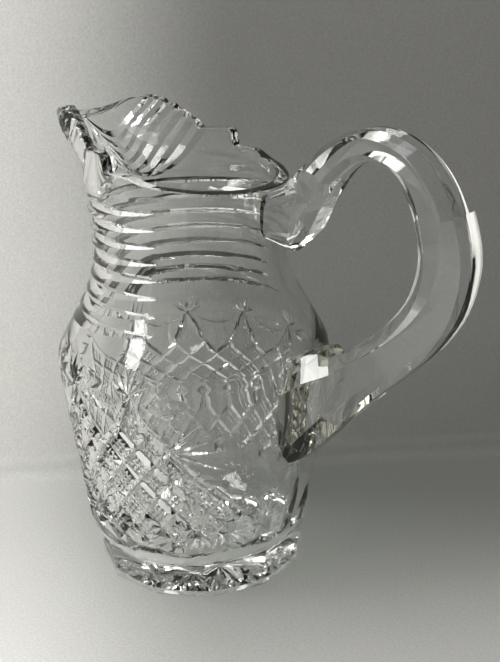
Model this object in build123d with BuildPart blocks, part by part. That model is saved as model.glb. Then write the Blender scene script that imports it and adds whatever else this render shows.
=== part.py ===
"""Cut-glass water jug: a thick blown and wheel-cut body with an applied solid handle.

Millimetres, +Z up. The origin is the centre of the flat resting face under the foot.
The handle lies along +X and the pouring lip along -X.
"""
import os
from math import cos, radians, sin

from build123d import *

os.makedirs("parts", exist_ok=True)

# Outside of the body, from the foot up
foot_radius = 49.0
foot_band_height = 6.5
foot_band_flare = 0.4
side_radius = 57.4
side_height = 54.0
belly_radius = 62.5
belly_height = 103.0
shoulder_radius = 58.6
shoulder_rise = 11.5
slope_radius = 49.6
slope_rise = 16.0
neck_radius = 43.5
neck_rise = 24.5
mouth_rise = 26.0
shoulder_height = belly_height + shoulder_rise
slope_height = shoulder_height + slope_rise
neck_height = slope_height + neck_rise
mouth_base = neck_height + mouth_rise

# Glass left under and behind the cutting
floor_thickness = 13.0
floor_corner = 12.0
side_wall = 6.6
neck_wall = 5.6
shoulder_fill = 0.15

# Plan of the mouth at rising heights: the back stays round, the lip draws out to -X
mouth_back_radius = 45.0
mouth_steps = [
    # rise above the neck, centre of the nose, radius of the nose
    (0.0, 3.6, 41.2),
    (9.0, 12.0, 37.6),
    (17.0, 26.0, 33.2),
    (24.0, 37.6, 28.6),
    (36.0, 45.5, 24.6),
]

# Rim seen from the side, as rises above the neck and distances along X
handle_rim_rise = 0.5
back_rim_rise = 4.5
back_rim_start = 19.0
low_ledge_rise = 9.0
low_ledge_end = 5.0
ledge_rise = 17.5
ledge_start = -22.0
ledge_end = -6.0
ledge_round = 3.4
step_count = 5
step_fall = 1.7
step_bulge = 0.8
arch_rise = 32.5
arch_x = -47.0
arch_run = 11.0
arch_drop = 3.2
lip_rise = 21.5
lip_x = -67.0

# Foot and side flutes, cut flat until they run out of the side
flute_count = 12
short_flute_top = 29.0
tall_flute_top = 74.0
tall_flute_count = 3
flute_runout = 0.5

# Prism rings round the lip side of the neck
ring_count = 8
first_ring_rise = 22.4
ring_pitch = 7.1
ring_depth = 2.5
ring_half_width = 3.45
ring_end_angle = 113.0
ring_shift = ring_depth / (1 - cos(radians(ring_end_angle)))

# How far a cutter stands past the surface that it cuts
cutter_margin = 3.5

# Main mitres of the diamond field: two slanting sets that cross, from junctions on a ring
junction_count = 8
junction_pitch = 30.0
first_junction = 75.0
field_top = 101.0
field_first_fall = 15.6
field_pitch = 8.0
field_level_count = 8
level_turn = 7.5
mitre_depth = 1.5
mitre_half_width = 2.1
crossing_relief = 0.15
mitre_runout_share = 0.35
mitre_rise = 1.2

# Olive hollows between the junctions, cut by a round wheel
olive_height = 98.4
olive_wheel = 5.3
olive_depth = 1.5

# Grooves that sweep over each flank of the lip: turn from the handle and height of the
# start under the lip, of the lowest place and of the end on the rim
flank_grooves = [
    ((176, 204.5), (168.5, 194.6), (147.0, 214.5)),
    ((176, 200.6), (168.5, 190.0), (142.0, 214.0)),
    ((176, 196.6), (167.5, 185.3), (137.3, 212.5)),
    ((176, 192.4), (164.0, 181.0), (132.0, 209.5)),
    ((176, 188.2), (158.0, 178.6), (126.8, 205.5)),
    ((176, 184.0), (150.0, 178.0), (119.5, 202.0)),
]
flank_groove_depth = 1.2
flank_groove_half_width = 1.6
flank_groove_rise = 0.5
flank_section_count = 15

# Handle, a flat-cut bar. Its stations stand off a line that joins its two seats: the
# first is at the neck's radius and height, the last at the belly's
handle_stations = [
    # distance out, rise, thickness, half width of the outer facet, half width
    (-9.5, 10.0, 28.0, 4.0, 11.0),
    (13.2, 21.0, 24.0, 4.0, 10.8),
    (24.0, 37.4, 17.0, 4.0, 9.8),
    (34.7, 53.2, 13.5, 4.2, 9.5),
    (46.9, 62.3, 12.0, 4.4, 9.5),
    (59.7, 61.9, 13.5, 4.4, 9.5),
    (68.7, 56.0, 15.6, 4.0, 9.5),
    (73.6, 47.3, 17.4, 7.2, 9.5),
    (75.4, 33.7, 18.0, 7.2, 9.5),
    (69.9, 19.8, 18.4, 7.2, 9.5),
    (58.8, 8.7, 18.8, 7.2, 9.7),
    (43.6, -0.3, 20.0, 7.2, 10.2),
    (27.8, -7.8, 25.0, 7.2, 11.6),
    (12.5, -11.9, 34.0, 7.4, 14.0),
    (-3.7, -19.5, 45.0, 7.0, 15.5),
    (-18.5, -17.0, 45.0, 7.0, 15.5),
]
last_station = len(handle_stations) - 1
seat_gap = 0.02
upper_station_count = 8
bar_station_count = 13
break_facet = 3.4
side_facet_share = 0.5
inner_facet_share = 0.62
break_station = upper_station_count - 1
root_station = bar_station_count - 1


def neck_outline(start, inset):
    """Profile of the shoulder and neck up to the mouth, drawn in by a wall."""
    shoulder = Spline(
        start,
        (shoulder_radius - inset, shoulder_height - inset * shoulder_fill),
        (slope_radius - inset, slope_height - inset * shoulder_fill),
        (neck_radius - inset, neck_height),
        tangents=((0.02, 1), (-0.02, 1)),
    )
    neck = Line(shoulder @ 1, (mouth_back_radius - inset, mouth_base))
    return shoulder, neck


def outer_outline(growth):
    """Profile of the turned outside from the foot band to the mouth, grown outwards."""
    band = Line(
        (foot_radius + growth, 0), (foot_radius + foot_band_flare + growth, foot_band_height)
    )
    side = Spline(
        band @ 1,
        (side_radius + growth, side_height),
        (belly_radius + growth, belly_height),
        tangents=((0.32, 1), (0.02, 1)),
    )
    shoulder, neck = neck_outline(side @ 1, -growth)
    return band, side, shoulder, neck


def mouth_section(back, centre, nose):
    """Plan outline of the mouth: a round back and a rounded nose joined by tangents."""
    with BuildSketch(Plane.XY, mode=Mode.PRIVATE) as outline:
        Circle(back)
        with Locations((-centre, 0)):
            Circle(nose)
        make_hull()
    return outline.sketch


def mouth_solid(inset):
    """Solid inside the mouth's outline, drawn in by a wall all round."""
    with BuildPart(mode=Mode.PRIVATE) as mouth:
        for rise, centre, nose in mouth_steps:
            with BuildSketch(Plane.XY.offset(mouth_base + rise)):
                add(mouth_section(mouth_back_radius - inset, centre, nose - inset))
        loft()
    return mouth.part


def surface_at(edge, height):
    """Radius of an edge of the turned profile at a height, and its outward slope there."""
    low, high = 0.0, 1.0
    while high - low > 1e-6:
        middle = (low + high) / 2
        low, high = (middle, high) if (edge @ middle).Y < height else (low, middle)
    direction = edge % low
    return (edge @ low).X, -direction.X / direction.Y


def skin_at(solid, turn, height):
    """Outermost point of a solid at a turn from the handle and a height, and its normal."""
    out = Vector(cos(radians(turn)), sin(radians(turn)), 0)
    start = out * 2 * belly_radius + Vector(0, 0, height)
    hits = solid.find_intersection_points(Axis(start, -out))
    return min(hits, key=lambda hit: (hit[0] - start).length)


def groove(places, depth, half_width, rise, runs_out):
    """V groove along a skin's points and normals that rises out at its start, and its end if asked."""
    with BuildPart(mode=Mode.PRIVATE) as cutter:
        for number, (point, normal) in enumerate(places):
            before = places[max(number - 1, 0)][0]
            after = places[min(number + 1, len(places) - 1)][0]
            lifted = number == 0 or (number == len(places) - 1 and runs_out)
            low = rise / 2 if lifted else -depth
            top = low + depth + rise
            spread = half_width * (depth + rise) / depth
            with BuildSketch(Plane(point, x_dir=normal, z_dir=after - before)):
                with BuildLine():
                    Polyline((low, 0), (top, spread), (top, -spread), close=True)
                make_face()
        loft(ruled=True)
    return cutter.part


def field_level(number):
    """Height of a level of the diamond field, counted down from the junctions."""
    if number <= 0:
        return field_top - field_first_fall * number
    return field_top - field_first_fall - field_pitch * (number - 1)


def field_mitres(solid):
    """Cutters of both slanting sets, each followed down from its first level."""
    cutters = []
    for number in range(junction_count + 3):
        first_level = max(0, 2 * (number - junction_count + 1))
        levels = list(range(first_level, field_level_count + 1))
        levels = [first_level - mitre_runout_share] + levels
        levels.append(field_level_count + mitre_runout_share)
        for side_sign, relief in ((1, 0), (-1, crossing_relief)):
            places = []
            for level in levels:
                turn = first_junction + number * junction_pitch - level * level_turn
                places.append(skin_at(solid, side_sign * turn, field_level(level)))
            depth = mitre_depth - relief
            cutters.append(groove(places, depth, mitre_half_width, mitre_rise, True))
    return cutters


def flank_cuts(solid):
    """Cutters of the grooves that sweep over the lip's flanks up to the rim."""
    cutters = []
    for start, lowest, end in flank_grooves:
        bend = [2 * low - (first + last) / 2 for first, low, last in zip(start, lowest, end)]
        for side_sign in (1, -1):
            places = []
            for number in range(flank_section_count + 1):
                share = number / flank_section_count
                turn, height = (
                    (1 - share) ** 2 * first + 2 * share * (1 - share) * middle + share**2 * last
                    for first, middle, last in zip(start, bend, end)
                )
                places.append(skin_at(solid, side_sign * turn, height))
            depth, half_width = flank_groove_depth, flank_groove_half_width
            cutters.append(groove(places, depth, half_width, flank_groove_rise, False))
    return cutters


# Turned outer form, from the foot to the mouth
with BuildPart() as turned_form:
    with BuildSketch(Plane.XZ):
        with BuildLine():
            band, side, shoulder_edge, neck_edge = outer_outline(0)
            Polyline(neck_edge @ 1, (0, mouth_base), (0, 0), band @ 0)
        make_face()
    revolve(axis=Axis.Z)

# The whole outside, with the mouth drawn out over it
with BuildPart() as outer_form:
    add(turned_form.part)
    add(mouth_solid(0))

# The turned form with the handle's seat gap round it
with BuildPart() as seat_form:
    with BuildSketch(Plane.XZ):
        with BuildLine():
            seat_edges = outer_outline(seat_gap)
            Polyline(seat_edges[3] @ 1, (0, mouth_base), (0, 0), seat_edges[0] @ 0)
        make_face()
    revolve(axis=Axis.Z)

# Inside: the floor, the widening side and the neck, each a wall in from the outside
with BuildPart() as inner_form:
    with BuildSketch(Plane.XZ):
        with BuildLine():
            floor = Line((0, floor_thickness), (foot_radius - side_wall - floor_corner, floor_thickness))
            inner_side = Spline(
                floor @ 1,
                (foot_radius - side_wall + floor_corner * 0.25, floor_thickness + floor_corner),
                (side_radius - side_wall, side_height),
                (belly_radius - side_wall, belly_height),
                tangents=((1, 0), (0.02, 1)),
            )
            inner_shoulder, inner_neck = neck_outline(inner_side @ 1, neck_wall)
            Polyline(inner_neck @ 1, (0, mouth_base), (0, floor_thickness))
        make_face()
    revolve(axis=Axis.Z)
    add(mouth_solid(neck_wall))

# Body of the jug
with BuildPart() as jug_body:
    add(outer_form.part)
    add(inner_form.part, mode=Mode.SUBTRACT)

    # Rim: a dipped lip, a stepped arch each side, two ledges and a low back at the handle
    beyond = abs(lip_x) + cutter_margin
    with BuildSketch(Plane.XZ):
        with BuildLine():
            arch_height = mouth_base + arch_rise
            lip_height = mouth_base + lip_rise
            lip = Spline(
                (-beyond, lip_height),
                (lip_x, lip_height),
                (arch_x - arch_run, arch_height - arch_drop),
                (arch_x, arch_height),
                tangents=((1, 0), (1, 0)),
            )
            corner = lip @ 1
            for number in range(1, step_count + 1):
                share = number / step_count
                step = Vector(
                    arch_x + (ledge_start - arch_x) * share,
                    arch_height - (arch_rise - ledge_rise) * share**step_fall,
                )
                middle = (corner + step) / 2 + Vector(step_bulge / 2, step_bulge)
                ThreePointArc(corner, middle, step)
                corner = step
            ledge_height = mouth_base + ledge_rise
            low_ledge_height = mouth_base + low_ledge_rise
            ledge = Line(corner, (ledge_end - ledge_round, ledge_height))
            ledge_fall = RadiusArc(
                ledge @ 1, (ledge_end, ledge_height - ledge_round), ledge_round
            )
            drop = Line(ledge_fall @ 1, (ledge_end, low_ledge_height + ledge_round / 2))
            drop_foot = RadiusArc(
                drop @ 1, (ledge_end + ledge_round / 2, low_ledge_height), -ledge_round / 2
            )
            low_ledge = Line(drop_foot @ 1, (low_ledge_end, low_ledge_height))
            back = Spline(
                low_ledge @ 1,
                (back_rim_start, mouth_base + back_rim_rise),
                (mouth_back_radius, mouth_base + handle_rim_rise),
                (beyond, mouth_base + handle_rim_rise),
                tangents=((1, 0), (1, 0)),
            )
            above = mouth_base + mouth_steps[-1][0] + cutter_margin
            Polyline(back @ 1, (beyond, above), (-beyond, above), lip @ 0)
        make_face()
    extrude(amount=beyond, both=True, mode=Mode.SUBTRACT)

    # Flat flutes: short under the cutting, tall and plain on the handle side
    flat = foot_radius * cos(radians(180 / flute_count))
    for number in range(flute_count):
        tall = min(number, flute_count - number) <= tall_flute_count // 2
        top = tall_flute_top if tall else short_flute_top
        reach = surface_at(side, top)[0] + flute_runout
        outside = belly_radius + cutter_margin
        with BuildSketch(Plane.XZ.rotated((0, 0, 360 / flute_count * number))):
            with BuildLine():
                Polyline(
                    (flat, -cutter_margin),
                    (flat, 0),
                    (flat + foot_band_flare, foot_band_height),
                    (reach, top),
                    (outside, top),
                    (outside, -cutter_margin),
                    close=True,
                )
            make_face()
        extrude(amount=belly_radius, both=True, mode=Mode.SUBTRACT)

    # Olives: short hollows from a wheel held level against the side
    olive_distance = surface_at(side, olive_height)[0] - olive_depth + olive_wheel
    for number in range(junction_count + 1):
        turn = first_junction + (number - 0.5) * junction_pitch
        with Locations(Plane.XY.rotated((0, 0, turn)).offset(olive_height)):
            with Locations((olive_distance, 0, 0)):
                Cylinder(olive_wheel, 2 * belly_radius, rotation=(90, 0, 0), mode=Mode.SUBTRACT)

    # Main mitres, cut over the flutes and the side
    add(field_mitres(jug_body.part), mode=Mode.SUBTRACT)

    # Grooves over the flanks of the lip
    add(flank_cuts(outer_form.part), mode=Mode.SUBTRACT)

    # Prism rings: each turned about an axis moved to the handle side, so that it runs out
    for number in range(ring_count):
        height = belly_height + first_ring_rise + ring_pitch * number
        radius, slope = surface_at(shoulder_edge if height < neck_height else neck_edge, height)
        with BuildSketch(Plane.XZ):
            with BuildLine():
                depth = ring_depth + cutter_margin
                out = Vector(1, slope).normalized() * depth
                along = Vector(-slope, 1).normalized() * (ring_half_width * depth / ring_depth)
                tip = Vector(radius - ring_depth + 2 * ring_shift, height)
                Polyline(tip, tip + out + along, tip + out - along, close=True)
            make_face()
        revolve(axis=Axis((ring_shift, 0, 0), (0, 0, 1)), mode=Mode.SUBTRACT)

# The body in one piece, without the crumbs that crossing cuts set free
body_glass = jug_body.part.solids().sort_by(SortBy.VOLUME)[-1]
body_glass.label = "jug_body"


def handle_corners(thickness, facet, half_width):
    """Corners of the bar's eight-sided section, with its outer facet away from the body."""
    half = thickness / 2
    right = [
        (half, facet),
        (half * side_facet_share, half_width),
        (-half * side_facet_share, half_width),
        (-half, half_width * inner_facet_share),
    ]
    return right + [(x, -y) for x, y in reversed(right)]


def handle_centre(number):
    """Centre of the bar at a station."""
    share = number / last_station
    out, rise = handle_stations[number][:2]
    return Vector(
        neck_radius + (belly_radius - neck_radius) * share + out,
        0,
        neck_height + (belly_height - neck_height) * share + rise,
    )


def handle_travel(number):
    """Direction of the bar at a station: level in its seats, elsewhere along its neighbours."""
    if number == 0:
        return Vector(1, 0, 0)
    if number >= last_station - 1:
        return Vector(-1, 0, 0)
    return (handle_centre(number + 1) - handle_centre(number - 1)).normalized()


def handle_length(first, last, ruled=False):
    """Loft the bar through its stations, square to its direction at each."""
    with BuildPart(mode=Mode.PRIVATE) as bar:
        for number in range(first, last + 1):
            thickness, facet, half_width = handle_stations[number][2:]
            if number == break_station == last:
                facet = break_facet
            travel = handle_travel(number)
            outward = Vector(-travel.Z, 0, travel.X)
            with BuildSketch(Plane(handle_centre(number), x_dir=outward, z_dir=travel)):
                with BuildLine():
                    Polyline(*handle_corners(thickness, facet, half_width), close=True)
                make_face()
        loft(ruled=ruled)
    return bar.part


# Handle: the narrow upper facets stop at an edge, a broad flat one runs down from it,
# and the lower root swells into a faceted wad pressed on the belly
with BuildPart() as handle:
    add(handle_length(0, break_station))
    add(handle_length(break_station, root_station))
    add(handle_length(root_station, last_station, ruled=True))
    add(seat_form.part, mode=Mode.SUBTRACT)

handle.part.label = "handle"

export_step(body_glass, "parts/jug_body.step")
export_step(handle.part, "parts/handle.step")

for piece in (body_glass, handle.part):
    print(piece.label, len(piece.solids()), "solid,", round(piece.volume), "cubic mm")
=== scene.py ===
from math import atan2, cos, degrees, hypot, pi, radians, sin, sqrt

import bmesh
import bpy
import numpy as np
from mathutils import Matrix, Vector
from mathutils.geometry import delaunay_2d_cdt


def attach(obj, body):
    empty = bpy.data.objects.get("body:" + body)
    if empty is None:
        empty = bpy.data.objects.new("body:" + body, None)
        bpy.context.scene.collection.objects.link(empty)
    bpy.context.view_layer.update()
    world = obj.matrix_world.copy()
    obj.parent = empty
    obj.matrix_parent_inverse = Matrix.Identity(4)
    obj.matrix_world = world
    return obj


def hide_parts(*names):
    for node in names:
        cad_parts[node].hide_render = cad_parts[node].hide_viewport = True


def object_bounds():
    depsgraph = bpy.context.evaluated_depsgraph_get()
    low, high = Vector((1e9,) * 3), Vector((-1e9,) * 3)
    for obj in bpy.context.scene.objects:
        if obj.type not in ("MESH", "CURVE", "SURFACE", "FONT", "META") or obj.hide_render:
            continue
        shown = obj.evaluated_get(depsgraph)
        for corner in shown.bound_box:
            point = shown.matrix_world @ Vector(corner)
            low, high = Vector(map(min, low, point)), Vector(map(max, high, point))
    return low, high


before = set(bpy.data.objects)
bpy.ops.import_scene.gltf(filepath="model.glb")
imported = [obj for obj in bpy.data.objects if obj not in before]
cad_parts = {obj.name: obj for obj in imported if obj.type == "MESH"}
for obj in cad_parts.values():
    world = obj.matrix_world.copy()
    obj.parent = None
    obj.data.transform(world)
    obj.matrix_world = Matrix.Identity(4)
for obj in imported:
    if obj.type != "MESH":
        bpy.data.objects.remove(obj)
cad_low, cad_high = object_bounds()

# Sizes are in millimetres here, as in the drawing of the jug, and turned into metres at the end
MM = 0.001

# Outside of the turned body: height, radius, slope
FOOT_RADIUS = 49.0
BAND_HEIGHT = 6.5
BAND_FLARE = 0.4
OUTER_KNOTS = [
    (BAND_HEIGHT, FOOT_RADIUS + BAND_FLARE, 0.32),
    (54.0, 57.4, 0.125),
    (103.0, 62.5, 0.02),
    (114.5, 58.6, -0.592),
    (130.5, 49.6, -0.533),
    (155.0, 43.5, -0.02),
    (181.0, 45.0, 0.06),
]
MOUTH_BASE = 181.0
BACK_RADIUS = 45.0
NECK_WALL = 5.6

# Plan of the mouth: height, centre of the nose, radius of the nose
MOUTH_KNOTS = [(181, 3.6, 41.2), (190, 12, 37.6), (198, 26, 33.2), (205, 37.6, 28.6), (217, 45.5, 24.6)]

# Inside: height, radius, slope
FLOOR_HEIGHT = 13.0
FLOOR_RADIUS = 31.0
INNER_KNOTS = [
    (FLOOR_HEIGHT, FLOOR_RADIUS, 6.0),
    (17.0, 40.6, 0.95),
    (27.0, 46.0, 0.3),
    (54.0, 51.0, 0.13),
    (103.0, 55.9, 0.02),
    (114.5, 52.6, -0.55),
    (130.5, 43.8, -0.5),
    (155.0, 37.9, -0.02),
    (181.0, 39.4, 0.06),
]

# Cutting
FLUTE_STEP = 30.0
SHORT_FLUTE_TOP = 29.0
TALL_FLUTE_TOP = 74.0
TALL_FLUTES_TO = 31.0
FLUTE_RUNOUT = 0.5
RING_HEIGHTS = [125.4 + 7.1 * number for number in range(8)]
RING_DEPTH = 2.5
RING_HALF_WIDTH = 3.45
RING_END = 113.0
RING_FULLNESS = 0.5
RIM_ROUND = 0.6
OLIVE_SHARES = (-1, -0.72, -0.36, 0, 0.36, 0.72, 1)
HALF_CELL = 7.5

# Rim from the outside over to the inside: share of the wall, drop under the rim's height
RIM_PROFILE = [(0.1, 0.18), (0.28, 0.03), (0.5, 0.0), (0.72, 0.03), (0.9, 0.18), (1.0, RIM_ROUND)]

# Rows of the hollow, from the mouth down to the floor, and radii of the floor's own rows
HOLLOW_HEIGHTS = (
    list(np.arange(176, 126, -5.0)) + list(np.arange(126, 96, -2.5)) + list(np.arange(94, 28, -6.0))
    + [26.0, 23.0, 20.5, 18.5, 17.0, 15.8, 14.9, 14.2, 13.7, 13.3, 13.08, 13.0]
)
FLOOR_ROWS = (26.0, 20.0, 13.0, 6.0)

# Star cut in the base: degrees to a ray, then radius and height of each row
STAR_STEP = 15.0
STAR_ROWS = [(43.0, 0.0), (41.0, 0.0), (36.0, 1.3), (24.0, 2.4), (11.0, 2.8)]
STAR_MIDDLE = (3.0, 2.9)


def hermite(z, knots):
    """Radius at heights z on a smooth line through knots of height, radius and slope."""
    z = np.asarray(z, float)
    height, radius, slope = (np.array(column, float) for column in zip(*knots))
    k = np.clip(np.searchsorted(height, z, "right") - 1, 0, len(height) - 2)
    span = height[k + 1] - height[k]
    t = np.clip((z - height[k]) / span, 0, 1)
    return (
        (2 * t**3 - 3 * t**2 + 1) * radius[k]
        + (t**3 - 2 * t**2 + t) * span * slope[k]
        + (3 * t**2 - 2 * t**3) * radius[k + 1]
        + (t**3 - t**2) * span * slope[k + 1]
    )


def with_slopes(points):
    """Knots with slopes from their neighbours."""
    knots = []
    for number, (height, value) in enumerate(points):
        before = points[max(number - 1, 0)]
        after = points[min(number + 1, len(points) - 1)]
        knots.append((height, value, (after[1] - before[1]) / (after[0] - before[0])))
    return knots


NOSE_CENTRE = with_slopes([(z, c) for z, c, r in MOUTH_KNOTS])
NOSE_RADIUS = with_slopes([(z, r) for z, c, r in MOUTH_KNOTS])


def mouth_outline(angle, z, inset=0.0):
    """Distance from the axis and direction of the wall's normal at an angle from +X, in radians."""
    centre = hermite(z, NOSE_CENTRE)
    nose = hermite(z, NOSE_RADIUS) - inset
    back = BACK_RADIUS - inset
    tangent = np.arccos(np.clip((nose - back) / np.maximum(centre, 1e-6), -1, 1))
    nose_end = np.arctan2(nose * np.sin(tangent), nose * np.cos(tangent) - centre)
    on_nose = -centre * np.cos(angle) + np.sqrt(
        np.maximum(nose**2 - (centre * np.sin(angle)) ** 2, 0)
    )
    flank = back / np.maximum(np.cos(angle - tangent), 1e-3)
    radius = np.where(angle <= tangent, back, np.where(angle <= nose_end, flank, on_nose))
    normal = np.where(
        angle <= tangent,
        angle,
        np.where(
            angle <= nose_end,
            tangent,
            np.arctan2(radius * np.sin(angle), radius * np.cos(angle) + centre),
        ),
    )
    return radius, normal


def outside(angle, z):
    """Uncut outer surface: distance from the axis and the normal's direction."""
    turned = np.where(
        z < BAND_HEIGHT,
        FOOT_RADIUS + BAND_FLARE * np.maximum(z, 0) / BAND_HEIGHT,
        hermite(z, OUTER_KNOTS),
    )
    radius, normal = mouth_outline(angle, np.maximum(z, MOUTH_BASE))
    above = z > MOUTH_BASE
    return np.where(above, radius, turned), np.where(above, normal, angle)


def arc_through(start, middle, end, count=6):
    """Points on a smooth bow from start to end that passes through the middle."""
    control = [2 * m - (s + e) / 2 for s, m, e in zip(start, middle, end)]
    steps = [number / count for number in range(1, count + 1)]
    return [
        tuple((1 - t) ** 2 * s + 2 * t * (1 - t) * c + t * t * e for s, c, e in zip(start, control, end))
        for t in steps
    ]


def rim_points():
    """The rim seen from the side, from the lip to the handle, as points of X and height."""
    points = [(-75.0, 200.0), (-70.0, 201.0), (-67.0, 202.5)]
    points += [(-64.0, 205.2), (-61.0, 208.0), (-58.0, 210.3), (-54.5, 212.2), (-51.0, 213.2), (-47.0, 213.5)]
    arch, ledge = (-47.0, 213.5), (-22.0, 198.5)
    for number in range(1, 6):
        share = number / 5
        step = (arch[0] + (ledge[0] - arch[0]) * share, arch[1] - (arch[1] - ledge[1]) * share**1.7)
        last = points[-1]
        middle = ((last[0] + step[0]) / 2 + 0.4, (last[1] + step[1]) / 2 + 0.8)
        points += arc_through(last, middle, step)
    points.append((-9.4, 198.5))
    points += arc_through(points[-1], (-7.0, 197.5), (-6.0, 195.1))
    points.append((-5.9, 191.7))
    points += arc_through(points[-1], (-5.4, 190.5), (-4.3, 190.0))
    points += [(0.5, 190.0), (5.0, 189.8), (8.5, 189.0), (12.0, 187.5), (15.5, 186.2), (19.0, 185.5)]
    points += [(25.0, 184.6), (31.0, 183.5), (37.0, 182.4), (42.0, 181.7), (45.0, 181.5), (75.0, 181.5)]
    return points


RIM_X, RIM_Z = (np.array(column) for column in zip(*rim_points()))


def rim_height(x):
    """Height of the rim over an X."""
    return np.interp(x, RIM_X, RIM_Z)


def rim_at(angle):
    """Height of the rim on the outside at an angle from +X."""
    low = np.full_like(angle, MOUTH_BASE)
    high = np.full_like(angle, 217.0)
    for _ in range(40):
        middle = (low + high) / 2
        x = mouth_outline(angle, middle)[0] * np.cos(angle)
        under = middle < rim_height(x)
        low = np.where(under, middle, low)
        high = np.where(under, high, middle)
    return low


def flute_depth(degrees_round, z):
    """Depth of the flat flutes under the turned surface."""
    turned = np.where(
        z < BAND_HEIGHT,
        FOOT_RADIUS + BAND_FLARE * np.maximum(z, 0) / BAND_HEIGHT,
        hermite(z, OUTER_KNOTS),
    )
    depth = np.zeros_like(turned)
    flat = FOOT_RADIUS * cos(radians(FLUTE_STEP / 2))
    for centre in np.arange(0, 181, FLUTE_STEP):
        top = TALL_FLUTE_TOP if centre <= TALL_FLUTES_TO else SHORT_FLUTE_TOP
        reach = float(hermite(top, OUTER_KNOTS)) + FLUTE_RUNOUT
        plane = np.where(
            z < BAND_HEIGHT,
            flat + BAND_FLARE * np.maximum(z, 0) / BAND_HEIGHT,
            flat + BAND_FLARE + (reach - flat - BAND_FLARE) * (z - BAND_HEIGHT) / (top - BAND_HEIGHT),
        )
        away = np.radians(np.clip(degrees_round - centre, -60, 60))
        cut = turned - plane / np.cos(away)
        depth = np.maximum(depth, np.where(z < top, cut, 0))
    return np.maximum(depth, 0)


RING_SHIFT = RING_DEPTH / (1 - cos(radians(RING_END)))


def ring_reach(degrees_round, z):
    """Depth of a ring's groove at its middle, at an angle from +X."""
    radius = float(hermite(z, OUTER_KNOTS))
    groove = radius - RING_DEPTH + RING_SHIFT
    angle = np.radians(degrees_round)
    at = RING_SHIFT * np.cos(angle) + np.sqrt(groove**2 - (RING_SHIFT * np.sin(angle)) ** 2)
    return RING_DEPTH * (np.maximum(radius - at, 0) / RING_DEPTH) ** RING_FULLNESS


def ring_depth(degrees_round, z):
    """Depth of the rings' grooves at angles from +X and heights."""
    depth = np.zeros_like(z)
    for height in RING_HEIGHTS:
        middle = ring_reach(degrees_round, height)
        depth = np.maximum(depth, middle - np.abs(z - height) * (RING_DEPTH / RING_HALF_WIDTH))
    return np.maximum(depth, 0)


class Cutting:
    """Cuts in the flat pattern of angle and height, as triangles with a depth at each corner."""

    def __init__(self):
        self.places = []
        self.depths = []

    def triangle(self, *corners):
        self.places.append([corner[:2] for corner in corners])
        self.depths.append([corner[2] for corner in corners])

    def quad(self, a, b, c, d):
        self.triangle(a, b, c)
        self.triangle(a, c, d)

    def ray(self, start, end, width, depth, widest):
        """A pointed groove, as deep and wide as it gets at a share of its length."""
        (x0, z0), (x1, z1) = start, end
        length = hypot(x1 - x0, z1 - z0)
        across = (-(z1 - z0) / length, (x1 - x0) / length)
        mx, mz = x0 + (x1 - x0) * widest, z0 + (z1 - z0) * widest
        middle = (mx, mz, depth)
        for side in (1, -1):
            edge = (mx + across[0] * width / 2 * side, mz + across[1] * width / 2 * side, 0)
            self.triangle((x0, z0, 0), edge, middle)
            self.triangle((x1, z1, 0), middle, edge)

    def olive(self, start, end, height, depth, count=10):
        """A lens-shaped hollow with a rounded section."""
        (x0, z0), (x1, z1) = start, end
        rows = []
        for number in range(count + 1):
            t = number / count
            swell = sin(pi * t) ** 0.8 if 0 < t < 1 else 0
            x, z = x0 + (x1 - x0) * t, z0 + (z1 - z0) * t
            half = height / 2 * swell
            row = []
            for share in OLIVE_SHARES:
                row.append((x, z + half * share, depth * swell * (1 - share * share)))
            rows.append(row)
        for before, after in zip(rows, rows[1:]):
            for k in range(len(OLIVE_SHARES) - 1):
                self.quad(before[k], before[k + 1], after[k + 1], after[k])

    def depth_at(self, x, z):
        """Greatest depth of the triangles over each point."""
        depth = np.zeros(len(x))
        places, depths = np.array(self.places), np.array(self.depths)
        low, high = places.min(axis=1), places.max(axis=1)
        for left in np.arange(0, 180, HALF_CELL):
            points = np.flatnonzero((x >= left - 1e-6) & (x <= left + HALF_CELL + 1e-6))
            near = np.flatnonzero((high[:, 0] >= left) & (low[:, 0] <= left + HALF_CELL))
            if not len(points) or not len(near):
                continue
            p = np.stack([x[points], z[points]], axis=1)[:, None, :]
            a, b, c = (places[near, k][None, :, :] for k in range(3))
            ab, ac, ap = b - a, c - a, p - a
            area = ab[..., 0] * ac[..., 1] - ab[..., 1] * ac[..., 0]
            area = np.where(np.abs(area) < 1e-9, 1e-9, area)
            v = (ap[..., 0] * ac[..., 1] - ap[..., 1] * ac[..., 0]) / area
            w = (ab[..., 0] * ap[..., 1] - ab[..., 1] * ap[..., 0]) / area
            inside = (v >= -1e-3) & (w >= -1e-3) & (v + w <= 1 + 1e-3)
            da, db, dc = (depths[near, k][None, :] for k in range(3))
            value = np.where(inside, da + (db - da) * v + (dc - da) * w, 0)
            depth[points] = np.maximum(depth[points], value.max(axis=1))
        return depth


# Diamond field: crossings stand half a cell and one level apart
LEVEL_HEIGHTS = [101.0, 85.4, 77.4, 69.4, 61.4, 53.4, 45.4, 37.4, 29.4]
FIRST_JUNCTION = 75.0
STRIP_SHIFT = (0.16, 0.42)

# A diamond: share of the mitre round it, its depth, depth between the pyramids, pyramids to a side
MITRE_SHARE = 0.36
MITRE_DEPTH = 2.1
HATCH_DEPTH = 0.6
HATCH = 3

# Outer half of the mitre along the field's zigzag top
ZIGZAG_DEPTH = 1.5
ZIGZAG_RISE = 2.6

# Cuts that leave the field towards the handle: end, width, depth, share of the way where widest
LEAVING_CUTS = [
    ((12.7, 27.7), 3.4, 1.6, 0.25),
    ((44.4, 92.6), 3.0, 1.4, 0.25),
    ((36.0, 84.5), 2.2, 0.9, 0.35),
    ((35.0, 77.0), 2.2, 0.9, 0.35),
    ((36.5, 67.0), 2.2, 0.9, 0.35),
]

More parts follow.
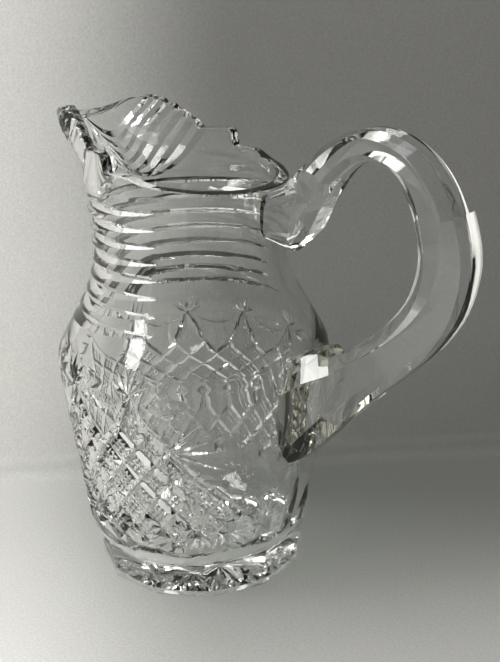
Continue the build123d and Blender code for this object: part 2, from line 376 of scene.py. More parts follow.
# Fan over a junction: turn and length of each ray, then how far it starts above, width, depth
FAN_RAYS = [(-58, 9.0), (-36, 11.0), (-15, 12.5), (6, 12.5), (27, 11.5), (50, 9.5)]
FAN_START = 0.8
FAN_WIDTH, FAN_DEPTH, FAN_WIDEST = 2.4, 0.9, 0.55

# Olives between the fans: height of the middle, ends before the junction, height, depth
OLIVE_LEVEL = 98.4
OLIVE_ENDS = (26.0, 4.5)
OLIVE_HEIGHT, OLIVE_DEPTH = 8.6, 1.5

# Grooves that sweep from under the lip to the rim's steps
LIP_STARTS = [(180, 204.5), (180, 200.6), (180, 196.6), (180, 192.4), (180, 188.2), (180, 184.0)]
LIP_LOWS = [(168.5, 194.6), (168.5, 190.0), (167.5, 185.3), (164.0, 181.0), (158.0, 178.6), (150.0, 178.0)]
LIP_ENDS = [(147.0, 214.5), (142.0, 214.0), (137.3, 212.5), (132.0, 209.5), (126.8, 205.5), (119.5, 202.0)]
LIP_STEPS = 16
LIP_GROOVE = 1.5


def crossing(i, k):
    """Place of a crossing, counted from the first junction: steps towards the lip, levels down."""
    k = min(max(k, 0), 8)
    whole = min(int(k), 7)
    z = LEVEL_HEIGHTS[whole] + (LEVEL_HEIGHTS[whole + 1] - LEVEL_HEIGHTS[whole]) * (k - whole)
    return FIRST_JUNCTION + HALF_CELL * i, z


def strawberry(cutting, corners):
    """One diamond of the field: a sunk border round a square of small pyramids."""
    right, top, left, bottom = corners

    def place(p, q, depth):
        """p runs from the bottom-right side to the top-left one, q from bottom-left to top-right."""
        s, t = (p + 1) / 2, (q + 1) / 2
        x = (1 - s) * (1 - t) * bottom[0] + s * (1 - t) * left[0] + (1 - s) * t * right[0] + s * t * top[0]
        z = (1 - s) * (1 - t) * bottom[1] + s * (1 - t) * left[1] + (1 - s) * t * right[1] + s * t * top[1]
        return (x, z, depth)

    edge = 1 - MITRE_SHARE
    steps = [-edge + 2 * edge * n / HATCH for n in range(HATCH + 1)]
    for p0, p1 in zip(steps, steps[1:]):
        for q0, q1 in zip(steps, steps[1:]):
            peak = place((p0 + p1) / 2, (q0 + q1) / 2, 0)
            ring = [place(p, q, HATCH_DEPTH) for p, q in ((p0, q0), (p1, q0), (p1, q1), (p0, q1))]
            for n in range(4):
                cutting.triangle(ring[n], ring[(n + 1) % 4], peak)
    outer = [(-1, -1), (1, -1), (1, 1), (-1, 1)]
    for n in range(4):
        (p0, q0), (p1, q1) = outer[n], outer[(n + 1) % 4]
        a, b = place(p0, q0, MITRE_DEPTH), place(p1, q1, MITRE_DEPTH)
        c = place(p1 * edge, q1 * edge, HATCH_DEPTH)
        d = place(p0 * edge, q0 * edge, HATCH_DEPTH)
        cutting.quad(a, b, c, d)


def side_pattern():
    """The field, mitres, fans and olives of half the side."""
    cutting = Cutting()

    def zigzag(i):
        return abs((i + 2) % 4 - 2)

    steps_round = int((180 - FIRST_JUNCTION) / HALF_CELL)
    for k in range(1, 8):
        for i in range(-7, steps_round + 2):
            if (i + k) % 2 == 0:
                continue
            if i + k < 1 or k - i > 11:
                continue
            if k - 1 < zigzag(i) or k < zigzag(i - 1) or k < zigzag(i + 1):
                continue
            right, left = crossing(i - 1, k), crossing(i + 1, k)
            top, bottom = crossing(i, k - 1), crossing(i, k + 1)
            if i + k == 1 and k >= 3:
                di, dk = STRIP_SHIFT
                right = crossing(i - 1 + di, k + dk)
                top = crossing(i + di, k - 1 + dk)
            strawberry(cutting, (right, top, left, bottom))

    # Outer halves of the mitres along the zigzag's top
    for i in range(-2, steps_round + 2):
        a, b = crossing(i, zigzag(i)), crossing(i + 1, zigzag(i + 1))
        outer = [(x, z + ZIGZAG_RISE, 0) for x, z in (b, a)]
        cutting.quad((*a, ZIGZAG_DEPTH), (*b, ZIGZAG_DEPTH), *outer)

    for end, width, depth, widest in LEAVING_CUTS:
        cutting.ray(crossing(-2, 2), end, width, depth, widest)

    # Fans over the junctions, olives between them
    for junction in range(0, steps_round + 1, 4):
        x, z = crossing(junction, 0)
        start = (x, z + FAN_START)
        for turn, length in FAN_RAYS:
            end = (x + length * sin(radians(turn)), z + FAN_START + length * cos(radians(turn)))
            cutting.ray(start, end, FAN_WIDTH, FAN_DEPTH, FAN_WIDEST)
        left, right = ((x - end, OLIVE_LEVEL) for end in OLIVE_ENDS)
        cutting.olive(left, right, OLIVE_HEIGHT, OLIVE_DEPTH)
    return cutting


def lip_curves():
    """Middles of the grooves that sweep from under the lip to the rim's steps."""
    curves = []
    for start, low, end in zip(LIP_STARTS, LIP_LOWS, LIP_ENDS):
        control = [2 * l - (s + e) / 2 for s, l, e in zip(start, low, end)]
        curve = []
        for number in range(LIP_STEPS + 1):
            t = number / LIP_STEPS
            curve.append([
                (1 - t) ** 2 * s + 2 * t * (1 - t) * c + t * t * e for s, c, e in zip(start, control, end)
            ])
        curves.append(np.array(curve))
    return curves


def lip_pattern(cutting):
    """The grooves over the lip's flank, edge to edge."""
    curves = lip_curves()
    edges = [curves[0] * 1.5 - curves[1] * 0.5]
    edges += [(a + b) / 2 for a, b in zip(curves, curves[1:])]
    edges.append(curves[-1] * 1.5 - curves[-2] * 0.5)
    for middle, above, below in zip(curves, edges, edges[1:]):
        for t in range(LIP_STEPS):
            for edge in (above, below):
                cutting.quad(
                    (*edge[t], 0), (*edge[t + 1], 0), (*middle[t + 1], LIP_GROOVE), (*middle[t], LIP_GROOVE)
                )


def flute_creases():
    """Lines where the flutes meet and run out."""
    lines = [[(x, BAND_HEIGHT) for x in np.arange(0, 180.1, 3.0)]]
    for arris in np.arange(15, 180, 30):
        top = TALL_FLUTE_TOP if arris < TALL_FLUTES_TO + 15 else SHORT_FLUTE_TOP
        lines.append([(arris, z) for z in np.arange(0, top, 4.0)])
    for centre in np.arange(0, 181, FLUTE_STEP):
        top = TALL_FLUTE_TOP if centre <= TALL_FLUTES_TO else SHORT_FLUTE_TOP
        line = []
        for away in np.arange(-15, 15.1, 2.5):
            if not 0 <= centre + away <= 180:
                continue
            heights = np.linspace(BAND_HEIGHT, top, 400)
            deep = flute_depth(np.full(400, centre + away), heights)
            out = heights[deep > 1e-4]
            line.append((centre + away, float(out.max()) if len(out) else BAND_HEIGHT))
        lines.append(line)
    return lines


def ring_creases():
    """Lines along each ring's middle and edges, and across it."""
    lines = []
    sweep = np.arange(67, 180.1, 3.0)
    sweep[-1] = 180.0
    for height in RING_HEIGHTS:
        half = ring_reach(sweep, height) * RING_HALF_WIDTH / RING_DEPTH
        for side in (-1, 0, 1):
            lines.append([(x, height + side * w) for x, w in zip(sweep, half)])
        for x, w in zip(sweep, half):
            if w > 0.02:
                lines.append([(x, height - w), (x, height + w)])
    return lines


def sheet_lines(cutting):
    """Every line that the outer surface has to follow, in the flat pattern."""
    lines = flute_creases() + ring_creases()
    for (a, b, c) in cutting.places:
        lines.append([a, b, c, a])
    # Even lines that keep the plain glass smooth
    rows = list(np.arange(2.0, 30, 5.5)) + list(np.arange(34, 102, 6.5)) + list(np.arange(104, 126, 2.6))
    rows += list(np.arange(178.5, 216, 2.5))
    for z in rows:
        lines.append([(x, z) for x in np.arange(0, 180.1, 3.0)])
    for z in np.arange(124, 179, 3.55):
        lines.append([(x, z) for x in np.arange(0, 67.1, 3.35)])
    for x in np.arange(3, 180, 3.0):
        lines.append([(x, z) for z in np.arange(0, 104, 8.0)])
        lines.append([(x, z) for z in np.arange(104, 126, 5.5)])
        lines.append([(x, z) for z in np.arange(176.0, 217, 4.0)])
        if x < 67:
            lines.append([(x, z) for z in np.arange(120, 181, 7.1)])
    return lines


def flat_sheet(outline, lines, columns, limit):
    """Triangles of the flat pattern inside an outline, with an edge along each line."""
    points = [Vector(p) for p in outline]
    edges = [(n, (n + 1) % len(outline)) for n in range(len(outline))]
    for line in lines:
        start = len(points)
        points += [Vector((float(p[0]), float(p[1]))) for p in line]
        edges += [(start + n, start + n + 1) for n in range(len(line) - 1)]
    verts, _, faces, *_ = delaunay_2d_cdt(points, edges, [], 0, 1e-4, False)
    flat = np.array([tuple(v) for v in verts])
    corners = np.array([tuple(f) for f in faces])
    middle = flat[corners].mean(axis=1)
    inside = (middle[:, 0] > 0) & (middle[:, 0] < 180) & (middle[:, 1] > 0)
    inside &= middle[:, 1] < np.interp(middle[:, 0], columns, limit)
    corners = corners[inside]
    used, corners = np.unique(corners, return_inverse=True)
    return flat[used], [tuple(int(n) for n in f) for f in corners.reshape(-1, 3)]


def new_object(name, points, faces, seam=()):
    """A mesh object from points in millimetres; seam faces take the second material."""
    mesh = bpy.data.meshes.new(name)
    mesh.from_pydata([tuple(p) for p in np.asarray(points) * MM], [], [tuple(f) for f in faces])
    for number in seam:
        mesh.polygons[number].material_index = 1
    ob = bpy.data.objects.new(name, mesh)
    bpy.context.scene.collection.objects.link(ob)
    return ob


class Half:
    """Half of the body as points and faces, grown row by row."""

    def __init__(self, points, faces):
        self.points = [points]
        self.faces = [tuple(f) for f in faces]
        self.count = len(points)

    def row(self, last, points, flip=False):
        """Joins a row of points to the last one, and gives the new row's numbers."""
        here = np.arange(self.count, self.count + len(points))
        self.points.append(points)
        self.count += len(points)
        for n in range(len(here) - 1):
            if flip:
                self.faces.append((last[n + 1], last[n], here[n], here[n + 1]))
            else:
                self.faces.append((last[n], last[n + 1], here[n + 1], here[n]))
        return here

    def close(self, last, height, flip=False):
        """Joins the last row to a point on the axis."""
        self.points.append(np.array([[0.0, 0.0, height]]))
        for n in range(len(last) - 1):
            pair = (last[n + 1], last[n]) if flip else (last[n], last[n + 1])
            self.faces.append((*pair, self.count))
        self.count += 1


def round_row(radius, angle, height):
    """Points round the axis, one for each angle."""
    return np.stack([radius * np.cos(angle), radius * np.sin(angle), height * np.ones(len(angle))], axis=1)


def outer_sheet(columns, rim):
    """The cut outer surface of half the body: flat pattern, faces, points, and depth of the cuts."""
    cutting = side_pattern()
    lip_pattern(cutting)
    outline = [(x, 0.0) for x in np.arange(0, 180.1, 3.0)]
    outline += [(180.0, z) for z in (20.0, 60.0, 120.0, 160.0)]
    outline += [(float(x), float(z - RIM_ROUND)) for x, z in zip(columns[::-1], rim[::-1])]
    outline += [(0.0, z) for z in (160.0, 120.0, 60.0, 20.0)]
    lines = sheet_lines(cutting) + [UPPER_FOOT, LOWER_FOOT]
    flat, faces = flat_sheet(outline, lines, columns, rim - RIM_ROUND)
    x, z = flat[:, 0], flat[:, 1]
    angle = np.radians(x)
    radius, normal = outside(angle, z)
    depth = cutting.depth_at(x, z) + ring_depth(x, z)
    fluted = flute_depth(x, z)
    px = (radius - fluted) * np.cos(angle) - depth * np.cos(normal)
    py = (radius - fluted) * np.sin(angle) - depth * np.sin(normal)
    return flat, faces, np.stack([px, py, z], axis=1), depth


def add_rim(half, outer, top, angle, depth):
    """Rounded rim, from the outside over to the inside."""
    edge, edge_z = outer[top], outer[top, 2] + RIM_ROUND
    _, edge_normal = mouth_outline(angle, edge_z)
    wall = NECK_WALL - depth[top]
    last = top
    for share, drop in RIM_PROFILE:
        x = edge[:, 0] - wall * share * np.cos(edge_normal)
        y = np.maximum(edge[:, 1] - wall * share * np.sin(edge_normal), 0)
        height = edge_z * (1 - share) + rim_height(x) * share
        last = half.row(last, np.stack([x, y, height - drop], axis=1))
    return last


def add_inside(half, last):
    """Inside wall: from the rim down the neck, then the turned hollow to the floor."""
    top = half.points[-1]
    angle = np.arctan2(top[:, 1], top[:, 0])
    for share in np.linspace(0, 1, 13)[1:]:
        height = top[:, 2] + (MOUTH_BASE - top[:, 2]) * share
        radius, _ = mouth_outline(angle, np.maximum(height, MOUTH_BASE), NECK_WALL)
        last = half.row(last, round_row(radius, angle, height))
    for height in HOLLOW_HEIGHTS:
        last = half.row(last, round_row(float(hermite(height, INNER_KNOTS)), angle, height))
    for radius in FLOOR_ROWS:
        last = half.row(last, round_row(radius, angle, FLOOR_HEIGHT))
    half.close(last, FLOOR_HEIGHT)


def add_base(half, outer, last):
    """Starred base: rays from the middle, cut up into the foot."""
    angle = np.arctan2(outer[last, 1], outer[last, 0])
    ray = np.abs((np.degrees(angle) / STAR_STEP) % 1 * 2 - 1)
    for radius, lift in STAR_ROWS:
        last = half.row(last, round_row(radius, angle, lift * ray), flip=True)
    radius, lift = STAR_MIDDLE
    last = half.row(last, round_row(radius, angle, lift), flip=True)
    half.close(last, lift, flip=True)


def jug_meshes():
    """The body as one closed mesh, and the handle that is fused to it."""
    columns = np.concatenate([np.arange(0, 84, 3.0), np.arange(84, 180, 1.0), [180.0]])
    rim = rim_at(np.radians(columns))
    flat, faces, outer, depth = outer_sheet(columns, rim)
    x, z = flat[:, 0], flat[:, 1]
    limit = np.interp(x, columns, rim - RIM_ROUND)
    top = np.flatnonzero(np.abs(z - limit) < 1e-3)
    top = top[np.argsort(x[top])]
    base = np.flatnonzero(z < 1e-3)
    base = base[np.argsort(x[base])]

    bar = handle_mesh(flat, faces, outer)
    middle = flat[np.array(faces)].mean(axis=1)
    under = [foot_mask(foot, middle[:, 0], middle[:, 1]) for foot in (UPPER_FOOT, LOWER_FOOT)]
    seam = [int(n) for n in np.flatnonzero(under[0] | under[1])]

    half = Half(outer, faces)
    last = add_rim(half, outer, top, np.radians(x[top]), depth)
    add_inside(half, last)
    add_base(half, outer, base)
    points, faces = np.concatenate(half.points), half.faces
    whole = np.concatenate([points, points * (1, -1, 1)])
    whole[:, 0] = np.maximum(whole[:, 0], cad_low[0] / MM)
    both = faces + [tuple(n + len(points) for n in reversed(f)) for f in faces]
    body = new_object("jug_body_glass", whole, both, seam + [n + len(faces) for n in seam])
    tidy(body, BODY_CREASE)
    return body, bar


# Angles in degrees over which an edge is sharp
BODY_CREASE = 13
HANDLE_CREASE = 10


def tidy(ob, crease):
    """Joins doubled points, turns every face outwards and sharpens the creases."""
    bm = bmesh.new()
    bm.from_mesh(ob.data)
    bmesh.ops.remove_doubles(bm, verts=bm.verts, dist=0.00002)
    bmesh.ops.dissolve_degenerate(bm, edges=bm.edges, dist=0.000005)
    bmesh.ops.recalc_face_normals(bm, faces=bm.faces)
    for face in bm.faces:
        face.smooth = True
    loose = sum(1 for e in bm.edges if len(e.link_faces) != 2)
    print(ob.name, "faces", len(bm.faces), "open or doubled edges", loose)
    bm.to_mesh(ob.data)
    bm.free()
    ob.data.set_sharp_from_angle(angle=radians(crease))


# Handle, a flat-cut bar: X, height, thickness, half width of the outer facet, half width
BAR_STATIONS = [
    (70.0, 185.5, 17.0, 4.0, 9.8),
    (82.0, 197.8, 13.5, 4.2, 9.5),
    (95.5, 203.4, 12.0, 4.4, 9.5),
    (109.5, 199.6, 13.5, 4.4, 9.5),
    (119.5, 190.0, 16.4, 4.0, 9.6),
    (125.4, 177.7, 18.8, 3.4, 9.7),
    (128.2, 161.0, 19.6, 9.0, 9.8),
    (124.1, 144.0, 20.0, 9.0, 9.8),
    (114.5, 129.6, 20.2, 9.0, 9.9),
    (100.8, 117.0, 21.0, 9.0, 10.2),
    (86.5, 105.6, 25.0, 7.2, 11.6),
]
BREAK_STATION = 5
BREAK_STEP = 0.7
LOWER_FACET = 9.0
INNER_SHARE = 0.5

# Rings of the roots between the bar and the body, as corners of X, Y and height: outer
# middle, outer facet, side facet's two edges, inner facet, inner middle
UPPER_RINGS = [
    [
        (55.5, 0, 184.0), (55.5, 4, 183.5), (64.5, 11, 177.0),
        (62.5, 11, 164.5), (60.0, 3, 157.5), (60.0, 0, 157.0),
    ], [
        (60.0, 0, 188.2), (60.0, 4, 187.8), (67.0, 10.6, 183.0),
        (68.5, 10.6, 173.5), (69.5, 6, 167.0), (69.5, 0, 167.0),
    ],
]
LOWER_RINGS = [
    [
        (84.5, 0, 85.4), (84.5, 7.1, 85.8), (80.5, 13, 92.5),
        (79.5, 13, 109.0), (74.5, 7.6, 116.8), (74.5, 0, 117.0),
    ], [
        (68.0, 0, 68.0), (68.0, 6.8, 68.5), (65.0, 14.2, 75.5),
        (71.5, 15.4, 105.5), (66.5, 8, 114.5), (66.5, 0, 115.0),
    ],
]

# Where the roots meet the body, as angle from the handle and height
UPPER_FOOT = [
    (0, 179.0), (4.6, 178.8), (5.6, 177.0), (6.0, 174.0), (5.9, 170.0),
    (5.3, 165.8), (4.4, 163.0), (2.8, 161.2), (0, 160.4),
]
LOWER_FOOT = [
    (0, 60.2), (6.0, 61.8), (9.8, 66.0), (13.2, 73.5), (15.6, 85.5),
    (14.6, 97.0), (11.6, 104.5), (6.5, 110.0), (0, 111.8),
]
SEAM_GAP = 0.02


def with_middles(corners):
    """Nine points of half a ring from its six corners."""
    o, a, b, c, d, i = (np.array(corner, float) for corner in corners)
    return np.array([o, a, (a + b) / 2, b, (b + c) / 2, c, (c + d) / 2, d, i])


def bar_ring(place, travel, thickness, facet, half_width, sunk=0.0):
    outward = np.array([-travel[1], travel[0]])
    ring = []
    for out, y in (
        (thickness / 2 - sunk, 0), (thickness / 2 - sunk, facet), (thickness / 4, half_width),
        (-thickness / 4, half_width), (-thickness / 2, half_width * INNER_SHARE), (-thickness / 2, 0),
    ):
        x, z = place + outward * out
        ring.append((x, y, z))
    return with_middles(ring)


def bar_rings():
    """Rings along the bar, from the upper root to the lower one."""
    stations = np.array(BAR_STATIONS)
    knots = [with_slopes([(n, float(v)) for n, v in enumerate(column)]) for column in stations.T]
    rings = []
    for first, last in ((0, BREAK_STATION), (BREAK_STATION, len(stations) - 1)):
        for t in np.linspace(first, last, (last - first) * 5 + 1):
            x, z, thickness, facet, half_width = (float(hermite(t, knot)) for knot in knots)
            if first:
                facet = LOWER_FACET
            ahead = [float(hermite(t + 0.05, knot)) - float(hermite(t - 0.05, knot)) for knot in knots[:2]]
            travel = np.array(ahead) / hypot(*ahead)
            sunk = BREAK_STEP * max(0.0, 1 - (t - first)) if first else 0.0
            rings.append(bar_ring(np.array([x, z]), travel, thickness, facet, half_width, sunk))
    return rings


def foot_mask(foot, x, z):
    """Which points of the flat pattern lie inside a root's foot."""
    heights = np.array([point[1] for point in foot])
    turns = np.array([point[0] for point in foot])
    order = np.argsort(heights)
    edge = np.interp(z, heights[order], turns[order])
    return (z > heights.min()) & (z < heights.max()) & (x < edge)


def foot_edge(foot, flat):
    """Points of the sheet along a foot's outline, in order, with their shares of the way."""
    found = []
    for number, (a, b) in enumerate(zip(foot, foot[1:])):
        a, b = np.array(a, float), np.array(b, float)
        along = b - a
        share = (flat - a) @ along / (along @ along)
        off = np.abs((flat[:, 0] - a[0]) * along[1] - (flat[:, 1] - a[1]) * along[0]) / hypot(*along)
        on = np.flatnonzero((off < 2e-3) & (share > -1e-4) & (share < 1 - 1e-4))
        found += [(number + float(share[n]), int(n)) for n in on]
    last = np.flatnonzero(np.hypot(*(flat - np.array(foot[-1])).T) < 2e-3)
    found += [(len(foot) - 1.0, int(last[0]))]
    found.sort()
    return found


def strip(first, second):
    """Triangles between two rows of points, each given as share of the way and number."""
    faces, i, j = [], 0, 0
    while i < len(first) - 1 or j < len(second) - 1:
        if j == len(second) - 1 or (i < len(first) - 1 and first[i + 1][0] <= second[j + 1][0]):
            faces.append((first[i][1], first[i + 1][1], second[j][1]))
            i += 1
        else:
            faces.append((first[i][1], second[j + 1][1], second[j][1]))
            j += 1
    return faces


def handle_mesh(flat, faces, outer):
    """The bar with both roots, closed by caps that lie on the body's skin."""
    rings = [with_middles(r) for r in UPPER_RINGS] + bar_rings() + [with_middles(r) for r in LOWER_RINGS]
    points = [np.array(ring) for ring in rings]
    count = sum(len(ring) for ring in rings)
    made, seam = [], []
    for number in range(len(rings) - 1):
        for k in range(8):
            a, b = number * 9 + k, (number + 1) * 9 + k
            made.append((a, a + 1, b + 1, b))
    corners = np.array(faces)
    middle = flat[corners].mean(axis=1)
    angle = np.radians(flat[:, 0])
    lifted = outer + np.stack([np.cos(angle), np.sin(angle), angle * 0], axis=1) * SEAM_GAP
    lifted[flat[:, 0] < 1e-6, 1] = 0
    for foot, ring in ((UPPER_FOOT, 0), (LOWER_FOOT, len(rings) - 1)):
        inside = corners[foot_mask(foot, middle[:, 0], middle[:, 1])]
        used, cap = np.unique(inside, return_inverse=True)
        points.append(lifted[used])
        place = {int(n): count + k for k, n in enumerate(used)}
        edge = [(share, place[n]) for share, n in foot_edge(foot, flat)]
        made += strip(edge, [(float(k), ring * 9 + k) for k in range(9)])
        seam += range(len(made), len(made) + len(inside))
        made += [tuple(count + int(n) for n in f) for f in cap.reshape(-1, 3)]
        count += len(used)
    half = np.concatenate(points)
    whole = np.concatenate([half, half * (1, -1, 1)])
    both = made + [tuple(n + len(half) for n in reversed(f)) for f in made]
    ob = new_object("handle_glass", whole, both, seam + [n + len(made) for n in seam])
    tidy(ob, HANDLE_CREASE)
    return ob


def glass(name, colour, bump=0.02):
    """Clear crystal with a faint fire-polished ripple and a trace of colour in its depth."""
    material = bpy.data.materials.new(name)
    material.use_nodes = True
    nodes, links = material.node_tree.nodes, material.node_tree.links
    nodes.clear()
    output = nodes.new("ShaderNodeOutputMaterial")
    shader = nodes.new("ShaderNodeBsdfPrincipled")
    shader.inputs["Base Color"].default_value = (*colour, 1)
    shader.inputs["Roughness"].default_value = 0.0
    shader.inputs["IOR"].default_value = 1.54
    shader.inputs["Transmission Weight"].default_value = 1.0
    place = nodes.new("ShaderNodeTexCoord")
    ripple = nodes.new("ShaderNodeTexNoise")
    ripple.inputs["Scale"].default_value = 60.0
    ripple.inputs["Detail"].default_value = 2.0
    lift = nodes.new("ShaderNodeBump")
    lift.inputs["Strength"].default_value = bump
    lift.inputs["Distance"].default_value = 0.001
    links.new(place.outputs["Object"], ripple.inputs["Vector"])
    links.new(ripple.outputs["Fac"], lift.inputs["Height"])
    links.new(lift.outputs["Normal"], shader.inputs["Normal"])
    clear = nodes.new("ShaderNodeBsdfTransparent")
    clear.inputs["Color"].default_value = (0.86, 0.88, 0.86, 1)
    path = nodes.new("ShaderNodeLightPath")
    mix = nodes.new("ShaderNodeMixShader")
    links.new(path.outputs["Is Shadow Ray"], mix.inputs["Fac"])
    links.new(shader.outputs["BSDF"], mix.inputs[1])
    links.new(clear.outputs["BSDF"], mix.inputs[2])
    links.new(mix.outputs["Shader"], output.inputs["Surface"])
    add_depth(nodes, links, output)
    return material


def seam_material():
    """Where body and handle are fused: light goes straight through."""
    material = bpy.data.materials.new("crystal_seam")
    material.use_nodes = True
    nodes, links = material.node_tree.nodes, material.node_tree.links
    nodes.clear()
    output = nodes.new("ShaderNodeOutputMaterial")
    clear = nodes.new("ShaderNodeBsdfTransparent")
    links.new(clear.outputs["BSDF"], output.inputs["Surface"])
    add_depth(nodes, links, output)
    return material


def add_depth(nodes, links, output):
    """A trace of colour that grows with the thickness of the glass."""
    depth = nodes.new("ShaderNodeVolumeAbsorption")
    depth.inputs["Color"].default_value = (0.80, 0.80, 0.74, 1)
    depth.inputs["Density"].default_value = 1.3
    links.new(depth.outputs["Volume"], output.inputs["Volume"])


def calculate(nodes, links, operation, *values):
    node = nodes.new("ShaderNodeMath")
    node.operation = operation
    for socket, value in zip(node.inputs, values):
        if isinstance(value, (int, float)):
            socket.default_value = value
        else:
            links.new(value, socket)
    return node.outputs[0]


def blend(nodes, links, share, first, second):
    """Grey that goes from first to second with a share of 0 to 1."""
    node = nodes.new("ShaderNodeMapRange")
    node.interpolation_type = "SMOOTHSTEP"
    for name, value in (("Value", share), ("To Min", first), ("To Max", second)):
        if isinstance(value, (int, float)):
            node.inputs[name].default_value = value
        else:
            links.new(value, node.inputs[name])
    return node.outputs["Result"]


def paper(name, wall_tones, front_tones, back_tones):
    """Pale paper with shade painted into its colour: darker away from the window and on the floor towards the
    wall; fine-grained, seen from one side.
    """
    material = bpy.data.materials.new(name)
    material.use_nodes = True
    nodes, links = material.node_tree.nodes, material.node_tree.links
    shader = nodes["Principled BSDF"]
    shader.inputs["Roughness"].default_value = 0.75
    shader.inputs["Specular IOR Level"].default_value = 0.2
    place = nodes.new("ShaderNodeNewGeometry")

    def along(direction, offset):
        node = nodes.new("ShaderNodeVectorMath")
        node.operation = "DOT_PRODUCT"
        node.inputs[1].default_value = direction
        links.new(place.outputs["Position"], node.inputs[0])
        return calculate(nodes, links, "ADD", node.outputs["Value"], offset)

    # Painted shade: the paper's colour darkens from left to right, away from the window, and on the floor
    # towards the wall
    centre, right, up, forward = camera_frame()
    depth = along(forward, -centre.dot(forward))
    across = calculate(nodes, links, "DIVIDE", along(right, -centre.dot(right)), depth)
    from_left = calculate(nodes, links, "ADD", across, SHADE_LEFT)
    share = calculate(nodes, links, "DIVIDE", from_left, SHADE_SPAN)
    wall, front, back = (
        blend(nodes, links, share, *tones) for tones in (wall_tones, front_tones, back_tones)
    )
    nearness = calculate(nodes, links, "MULTIPLY", along(BEHIND, FLOOR_SHADE_START), FLOOR_SHADE_RATE)
    floor = blend(nodes, links, nearness, front, back)
    height = calculate(nodes, links, "MULTIPLY", along((0, 0, 1), -WALL_SHADE_START), WALL_SHADE_RATE)
    tone = blend(nodes, links, height, floor, wall)
    grain = nodes.new("ShaderNodeTexNoise")
    grain.inputs["Scale"].default_value = GRAIN_SCALE
    grain.inputs["Detail"].default_value = 3.0
    links.new(place.outputs["Position"], grain.inputs["Vector"])
    speckle = calculate(nodes, links, "MULTIPLY_ADD", grain.outputs["Fac"], GRAIN, 1 - GRAIN / 2)
    tone = calculate(nodes, links, "MULTIPLY", tone, speckle)
    colour = nodes.new("ShaderNodeCombineColor")
    for socket, part in zip(colour.inputs, PAPER_COLOUR):
        links.new(calculate(nodes, links, "MULTIPLY", tone, part), socket)
    links.new(colour.outputs["Color"], shader.inputs["Base Color"])
    clear = nodes.new("ShaderNodeBsdfTransparent")
    sides = nodes.new("ShaderNodeMixShader")
    links.new(place.outputs["Backfacing"], sides.inputs["Fac"])
    links.new(shader.outputs["BSDF"], sides.inputs[1])
    links.new(clear.outputs["BSDF"], sides.inputs[2])
    links.new(sides.outputs["Shader"], nodes["Material Output"].inputs["Surface"])
    return material


# The paper's painted shade goes from left to right over a span of the picture, in shares of the distance
SHADE_LEFT = 0.28
SHADE_SPAN = 0.27
# The painted shade goes from the front greys to the back ones with the distance behind, then up to the wall's
FLOOR_SHADE_START = 0.20
FLOOR_SHADE_RATE = 4.0
WALL_SHADE_START = 0.004
WALL_SHADE_RATE = 120.0
GRAIN = 0.44
GRAIN_SCALE = 900.0
PAPER_COLOUR = (1.0, 1.0, 0.965)
# Greys of the paper at the picture's left and right, painted shade that darkens away from the window: upright
# part, floor in front, floor behind
WALL_PAINTED_SHADE = (0.62, 0.18)
FRONT_PAINTED_SHADE = (0.54, 0.36)
BACK_PAINTED_SHADE = (0.38, 0.10)
BEHIND = Vector((-cos(radians(47.8)), sin(radians(47.8)), 0))
WALL_DISTANCE = 0.085
WALL_BEND = 0.012
UNDER_PAPER = 0.0005
BEYOND_TONE = 0.42


def surroundings():
    """Pale floor that turns up into a sheet of paper close behind the jug, and the floor beyond."""
    profile = [(-2.5, 0), (-1.0, 0), (-0.3, 0), (WALL_DISTANCE - WALL_BEND, 0)]
    for number in range(1, 9):
        turn = radians(90 * number / 8)
        profile.append((WALL_DISTANCE - WALL_BEND + WALL_BEND * sin(turn), WALL_BEND * (1 - cos(turn))))
    profile += [(WALL_DISTANCE, 0.8), (WALL_DISTANCE, 2.2)]
    sheet("floor", profile, paper("paper", WALL_PAINTED_SHADE, FRONT_PAINTED_SHADE, BACK_PAINTED_SHADE))
    beyond = [(along, -UNDER_PAPER) for along in (WALL_DISTANCE - 2 * WALL_BEND, 0.3, 1.0, 2.5)]
    sheet("floor_beyond", beyond, paper("paper_beyond", *[(BEYOND_TONE, BEYOND_TONE)] * 3))


def sheet(name, profile, material):
    """A wide sheet with a profile of distances behind the jug and heights."""
    points, faces = [], []
    side = Vector((-BEHIND.y, BEHIND.x, 0))
    for along, height in profile:
        for across in np.linspace(-2.5, 2.5, 11):
            points.append(BEHIND * along + side * across + Vector((0, 0, height)))
    for row in range(len(profile) - 1):
        for column in range(10):
            a = row * 11 + column
            faces.append((a, a + 11, a + 12, a + 1))
    ob = new_object(name, np.array(points) / MM, faces)
    for polygon in ob.data.polygons:
        polygon.use_smooth = True
    ob.data.materials.append(material)


def area_light(name, place, target, width, height, power, colour=(1, 1, 1)):
    data = bpy.data.lights.new(name, "AREA")
    data.shape = "RECTANGLE"
    data.size, data.size_y = width, height
    data.energy = power
    data.color = colour
    light = bpy.data.objects.new(name, data)
    light.location = place
    light.rotation_mode = "QUATERNION"
    light.rotation_quaternion = (Vector(target) - Vector(place)).to_track_quat("-Z", "Y")
    bpy.context.scene.collection.objects.link(light)


def around(azimuth, elevation, distance):
    """A place round the jug: azimuth in degrees from +X, elevation above the floor."""
    a, e = radians(azimuth), radians(elevation)
    return Vector((cos(a) * cos(e), sin(a) * cos(e), sin(e))) * distance


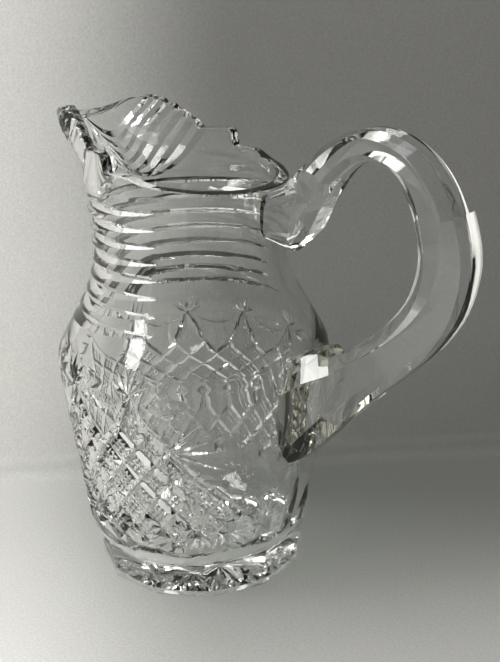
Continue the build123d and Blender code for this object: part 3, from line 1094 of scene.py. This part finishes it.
def room():
    """A room that is light towards the window and dark away from it."""
    world = bpy.data.worlds.new("room")
    world.use_nodes = True
    nodes, links = world.node_tree.nodes, world.node_tree.links
    way = nodes.new("ShaderNodeTexCoord")
    towards = nodes.new("ShaderNodeVectorMath")
    towards.operation = "DOT_PRODUCT"
    towards.inputs[1].default_value = Vector(around(-150, 35, 1.0)).normalized()
    links.new(way.outputs["Generated"], towards.inputs[0])
    share = calculate(nodes, links, "MULTIPLY_ADD", towards.outputs["Value"], 0.5, 0.55)
    level = blend(nodes, links, share, 0.015, 0.5)
    colour = nodes.new("ShaderNodeCombineColor")
    for socket, part in zip(colour.inputs, (1.0, 0.98, 0.93)):
        links.new(calculate(nodes, links, "MULTIPLY", level, part), socket)
    links.new(colour.outputs["Color"], nodes["Background"].inputs["Color"])
    bpy.context.scene.world = world


def lights():
    target = (0, 0, 0.11)
    area_light("window", around(-134, 52, 1.5), target, 1.5, 0.9, 54, (1.0, 0.99, 0.97))
    area_light("sky_fill", around(-60, 75, 1.6), target, 0.8, 0.8, 4, (0.97, 0.98, 1.0))
    room()


# Camera, solved from the photograph
CAMERA_PLACE = (295.7, -325.8, 259.4)
CAMERA_TURN = 42.23
CAMERA_YAW = -3.38
CAMERA_PITCH = 18.81
CAMERA_ROLL = -1.62
FOCAL_PIXELS = 1001.5
FRAME_LONG_SIDE = 662
SENSOR = 36.0


def camera_frame():
    """The camera's place, right, up and forward, in metres."""
    turn = radians(CAMERA_TURN)
    heading = atan2(cos(turn), -sin(turn)) + radians(CAMERA_YAW)
    pitch, roll = radians(CAMERA_PITCH), radians(CAMERA_ROLL)
    forward = Vector((cos(heading) * cos(pitch), sin(heading) * cos(pitch), -sin(pitch)))
    right = Vector((sin(heading), -cos(heading), 0))
    up = right.cross(forward)
    turned_right = right * cos(roll) + up * sin(roll)
    turned_up = up * cos(roll) - right * sin(roll)
    return Vector(CAMERA_PLACE) * MM, turned_right, turned_up, forward


def camera():
    data = bpy.data.cameras.new("camera")
    data.sensor_fit = "AUTO"
    data.sensor_width = SENSOR
    data.lens = FOCAL_PIXELS / FRAME_LONG_SIDE * SENSOR
    data.clip_start, data.clip_end = 0.01, 20
    place, right, up, forward = camera_frame()
    ob = bpy.data.objects.new("camera", data)
    matrix = Matrix((right, up, -forward)).transposed().to_4x4()
    matrix.translation = place
    ob.matrix_world = matrix
    bpy.context.scene.collection.objects.link(ob)
    bpy.context.scene.camera = ob


bpy.context.scene.view_settings.view_transform = "Standard"
camera()
lights()
surroundings()
crystal = glass("crystal", (0.985, 0.99, 0.985))
seam = seam_material()
body, bar = jug_meshes()
for piece, node, slot in ((body, "jug_body", "body_glass"), (bar, "handle", "handle_glass")):
    piece.data.materials.append(crystal)
    piece.data.materials.append(seam)
    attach(piece, "root")
    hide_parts(node)
